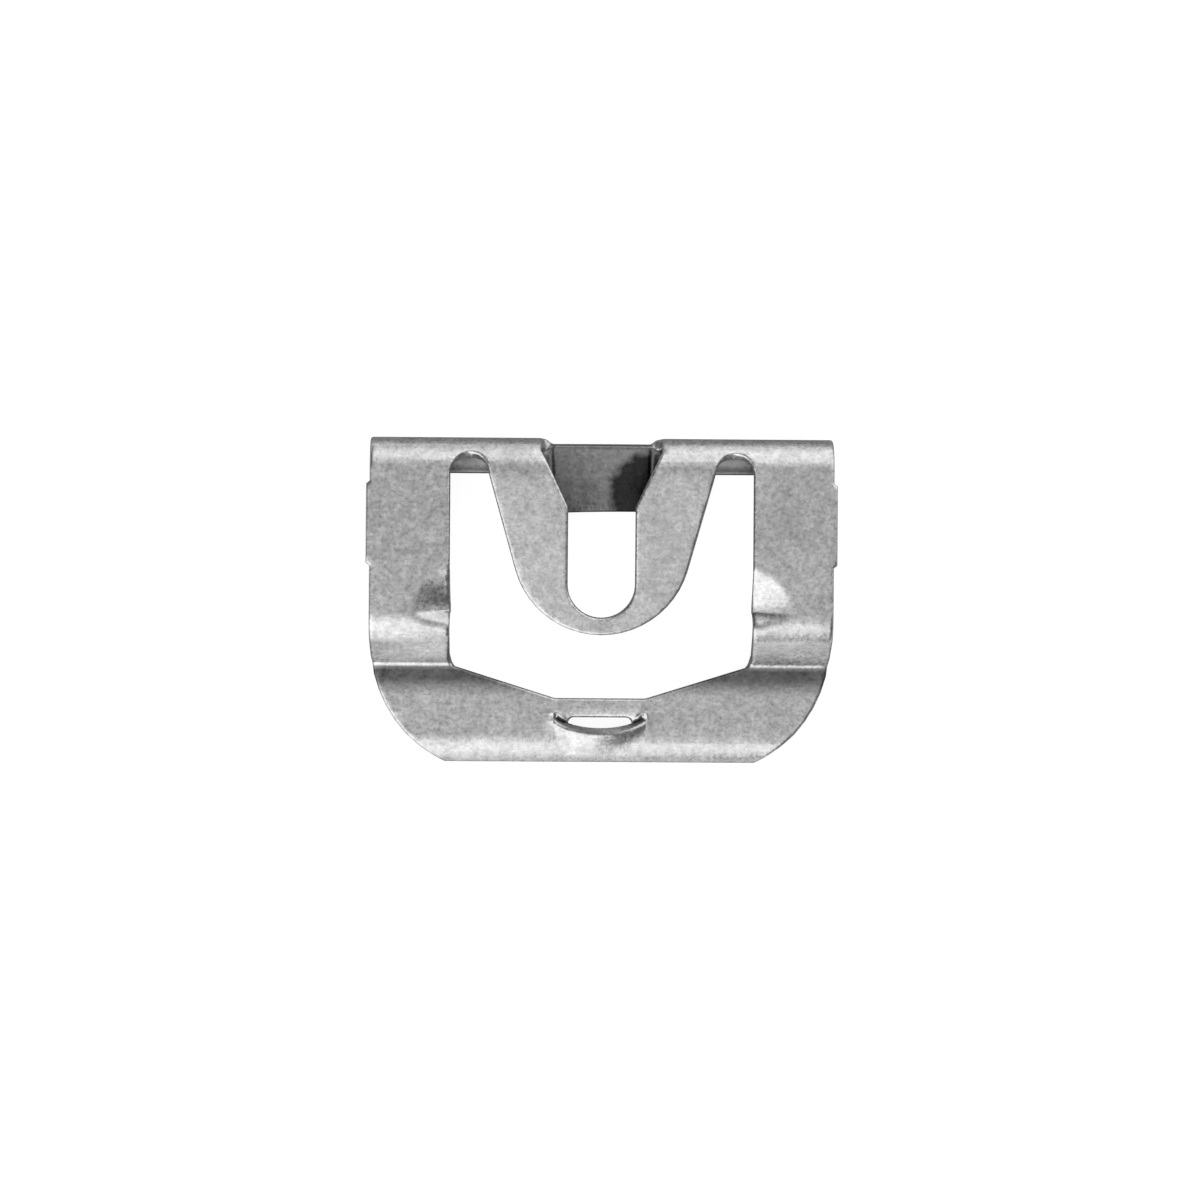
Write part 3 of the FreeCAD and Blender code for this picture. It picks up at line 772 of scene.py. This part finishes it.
def plated_steel():
    finish = Finish("plated_steel")
    place = finish.millimetres()
    grain = finish.noise(place, GRAIN_PER_MM, 3.0, 0.6)
    mottle = finish.noise(place, MOTTLE_PER_MM, 2.0, 0.55)
    cloud = finish.noise(place, CLOUD_PER_MM, 2.0, 0.5)
    speck = finish.noise(place, SPECK_PER_MM, 1.0, 0.5)
    rising = finish.noise(finish.drawn_out(place, STREAK_TURN, 0.5, 5.0), 1.0, 2.0)
    falling = finish.noise(finish.drawn_out(place, -STREAK_TURN, 0.4, 4.0), 1.0, 2.0)

    # The face: grain, mottle and clouds multiply, and specks and streaks are added.
    tone = finish.varied(grain, 0.78, 1.22)
    tone = finish.blend("MULTIPLY", tone, finish.varied(mottle, 0.86, 1.14))
    tone = finish.blend("MULTIPLY", tone, finish.varied(cloud, 0.93, 1.07))
    tone = finish.blend("ADD", tone, finish.spread(speck, 0.7, 0.78, 0.0, 0.35))
    tone = finish.blend("ADD", tone, finish.spread(rising, 0.6, 0.74, 0.0, 0.16))
    tone = finish.blend("ADD", tone, finish.spread(falling, 0.64, 0.76, 0.0, 0.14))

    # The rim is worn bright halfway down, and the sheared face below it is torn.
    edge = finish.mark("sheared")
    upper_half = finish.spread(edge, 0.1, 0.5, 0.0, 1.0)
    lower_half = finish.spread(edge, 0.5, 0.95, 1.0, 0.0)
    worn = finish.blend("MULTIPLY", upper_half, lower_half)
    worn = finish.blend("MULTIPLY", worn, finish.spread(mottle, 0.4, 0.55, 0.3, 1.0))
    cut_face = finish.spread(edge, 0.85, 1.0, 0.0, 1.0)
    torn = finish.blend("MULTIPLY", cut_face, finish.spread(grain, 0.35, 0.6, 1.0, 0.5))
    tone = finish.blend("MULTIPLY", tone, finish.spread(worn, 0.0, 1.0, 1.0, WORN_TONE))
    tone = finish.blend("MULTIPLY", tone, finish.spread(torn, 0.0, 1.0, 1.0, SHEARED_TONE))

    # Painted shade and the tab's painted shadow darken the colour, with an uneven edge.
    dark = finish.blend("ADD", finish.mark("painted_shade"), finish.varied(mottle, -PAINTED_SHADE_UNEVEN, PAINTED_SHADE_UNEVEN))
    dimmed = finish.spread(dark, PAINTED_SHADE_BEGINS, PAINTED_SHADE_FULL, 1.0, PAINTED_SHADE_TONE)
    tone = finish.blend("MULTIPLY", tone, dimmed)
    tone = finish.blend("MINIMUM", finish.blend("MULTIPLY", tone, FACE_TONE), BRIGHTEST_TONE)
    colour = finish.node("CombineColor", {0: tone, 1: tone, 2: tone}).outputs[0]
    finish.tree.links.new(colour, finish.shader.inputs["Base Color"])

    rough = finish.varied(grain, *FACE_ROUGHNESS)
    rough = finish.blend("ADD", rough, finish.spread(torn, 0.0, 1.0, 0.0, SHEARED_ROUGHER))
    finish.tree.links.new(rough, finish.shader.inputs["Roughness"])
    height = finish.blend("ADD", grain, finish.blend("MULTIPLY", mottle, 1.5))
    numbers = {"Height": height, "Strength": BUMP_STRENGTH, "Distance": BUMP_HEIGHT * MM}
    finish.tree.links.new(finish.node("Bump", numbers).outputs[0], finish.shader.inputs["Normal"])
    finish.shader.inputs["Metallic"].default_value = 1.0
    return finish.material


clip.data.materials.clear()
clip.data.materials.append(plated_steel())
print(f"plated steel of {len(clip.data.materials[0].node_tree.nodes)} nodes")

# %% [markdown]
# ## The floor
# The clip lies on a pale floor. The camera sees it glow white, and so does the
# metal, which has to mirror something pale. A glow that only some kinds of ray
# see puts no more light on the clip, so its own shade stays true. Close to
# the clip the mirrored glow is dimmed, because there the real floor lies in
# the clip's own shadow, and that gives the steep walls their darker tones.

# %% Make the floor
FLOOR_HALF = 0.6
FLOOR_BELOW = 0.00001
FLOOR_GLOW = 0.9
FLOOR_TONE = 0.3
SHADE_INSIDE = 3.0
SHADE_START = 3.0
SHADE_REACH = 36.0
SHADE_CURVE = 1.6
SHADE_LEAST = 0.06
SHADE_LIT_SIDE = 2.0


def pale_floor():
    finish = Finish("pale_floor")
    across = finish.node("SeparateXYZ", {0: finish.millimetres()}).outputs
    beside = finish.blend("SUBTRACT", finish.blend("ABSOLUTE", across[0], 0.0), EAR_HALF - SHADE_INSIDE)
    below = finish.blend("MULTIPLY", across[1], -SHADE_LIT_SIDE)
    beyond = finish.blend("SUBTRACT", finish.blend("MAXIMUM", across[1], below), TOP - SHADE_INSIDE)
    beside = finish.blend("MAXIMUM", beside, 0.0)
    beyond = finish.blend("MAXIMUM", beyond, 0.0)
    away = finish.node("CombineXYZ", {0: beside, 1: beyond}).outputs[0]
    distance = finish.node("VectorMath", {0: away}, operation="LENGTH").outputs["Value"]
    shade = finish.spread(distance, SHADE_START, SHADE_REACH, 0.0, 1.0)
    shade = finish.blend("POWER", shade, SHADE_CURVE)
    shade = finish.blend("MAXIMUM", shade, SHADE_LEAST)
    path = finish.node("LightPath").outputs
    mirrored = finish.blend("MULTIPLY", path["Is Glossy Ray"], shade)
    seen = finish.blend("MAXIMUM", path["Is Camera Ray"], path["Is Transmission Ray"])
    seen = finish.blend("MAXIMUM", seen, mirrored)
    glow = finish.blend("MULTIPLY", seen, FLOOR_GLOW)
    finish.tree.links.new(glow, finish.shader.inputs["Emission Strength"])
    finish.shader.inputs["Emission Color"].default_value = (1, 1, 1, 1)
    finish.shader.inputs["Base Color"].default_value = (FLOOR_TONE, FLOOR_TONE, FLOOR_TONE, 1)
    finish.shader.inputs["Roughness"].default_value = 1.0
    finish.shader.inputs["Specular IOR Level"].default_value = 0.0
    return finish.material


bpy.ops.object.select_all(action="DESELECT")
bpy.ops.mesh.primitive_plane_add(size=2 * FLOOR_HALF, location=(0, 0, -FLOOR_BELOW))
floor = bpy.context.active_object
floor.name = "floor"
floor.data.materials.append(pale_floor())

# %% [markdown]
# ## The lamps
# A satin metal mostly shows what is around it. So two large soft boxes stand
# at opposite corners, and the other two corners stay dim: that gives each bend
# one bright and one dark flank. Three smaller ones near the top light the flat
# faces, which mirror what lies straight above them. Area lamps are used,
# because their width decides how soft a bright band on a bend looks.

# %% Set up the lamps
LAMP_DISTANCE = 0.45
WORLD_GLOW = 0.12


def soft_box(name, azimuth, from_zenith, width, height, glow):
    """A rectangular lamp that looks at the clip; glow is how bright its face looks."""
    side = math.sin(math.radians(from_zenith))
    way = Vector(
        (
            side * math.cos(math.radians(azimuth)),
            side * math.sin(math.radians(azimuth)),
            math.cos(math.radians(from_zenith)),
        )
    )
    lamp = bpy.data.lights.new(name, "AREA")
    lamp.shape = "RECTANGLE"
    lamp.size = width
    lamp.size_y = height
    lamp.energy = glow * math.pi * width * height
    holder = bpy.data.objects.new(name, lamp)
    bpy.context.scene.collection.objects.link(holder)
    holder.location = way * LAMP_DISTANCE
    holder.rotation_euler = way.to_track_quat("Z", "Y").to_euler()


soft_box("upper_right_box", 54, 58, 0.80, 0.50, 1.15)
soft_box("lower_left_box", 236, 55, 0.68, 0.64, 1.35)
soft_box("front_box", 265, 14, 0.36, 0.16, 0.45)
soft_box("ceiling_box", 90, 9, 0.36, 0.38, 0.32)
soft_box("bridge_box", 60, 25, 0.60, 0.18, 0.22)
world = bpy.data.worlds.new("studio")
world.use_nodes = True
world.node_tree.nodes["Background"].inputs["Color"].default_value = (1, 1, 1, 1)
world.node_tree.nodes["Background"].inputs["Strength"].default_value = WORLD_GLOW
bpy.context.scene.world = world

# %% [markdown]
# ## The camera
# The camera looks almost straight down on the front face, a little from the
# left and turned by less than half a degree. Its sizes are given per pixel of
# the frame, because that is how such a view is measured, and its lens follows.

# %% The camera
CAMERA_AWAY = 280.0
CAMERA_LEAN = math.radians(1.1)
CAMERA_ROLL = math.radians(0.4)
PIXEL = 0.06822
FRAME_PIXELS = 1200
SENSOR = 36.0
AXIS_RIGHT = 1.5
AXIS_DOWN = 1.35

side_way = Vector((math.cos(CAMERA_LEAN), 0, math.sin(CAMERA_LEAN)))
toward = Vector((-math.sin(CAMERA_LEAN), 0, math.cos(CAMERA_LEAN)))
up_way = Vector((0, 1, 0))
image_right = side_way * math.cos(CAMERA_ROLL) + up_way * math.sin(CAMERA_ROLL)
image_up = up_way * math.cos(CAMERA_ROLL) - side_way * math.sin(CAMERA_ROLL)
place = Vector((0, 0, DEPTH)) + toward * CAMERA_AWAY
place += (image_up * AXIS_DOWN - image_right * AXIS_RIGHT) * PIXEL
camera_data = bpy.data.cameras.new("camera")
camera_data.sensor_width = SENSOR
camera_data.lens = SENSOR * CAMERA_AWAY / (FRAME_PIXELS * PIXEL)
camera_data.clip_start = 0.01
camera = bpy.data.objects.new("camera", camera_data)
bpy.context.scene.collection.objects.link(camera)
turn = Matrix((image_right, image_up, toward)).transposed()
camera.matrix_world = Matrix.Translation(place * MM) @ turn.to_4x4()
bpy.context.scene.camera = camera
bpy.context.scene.view_settings.view_transform = "Standard"
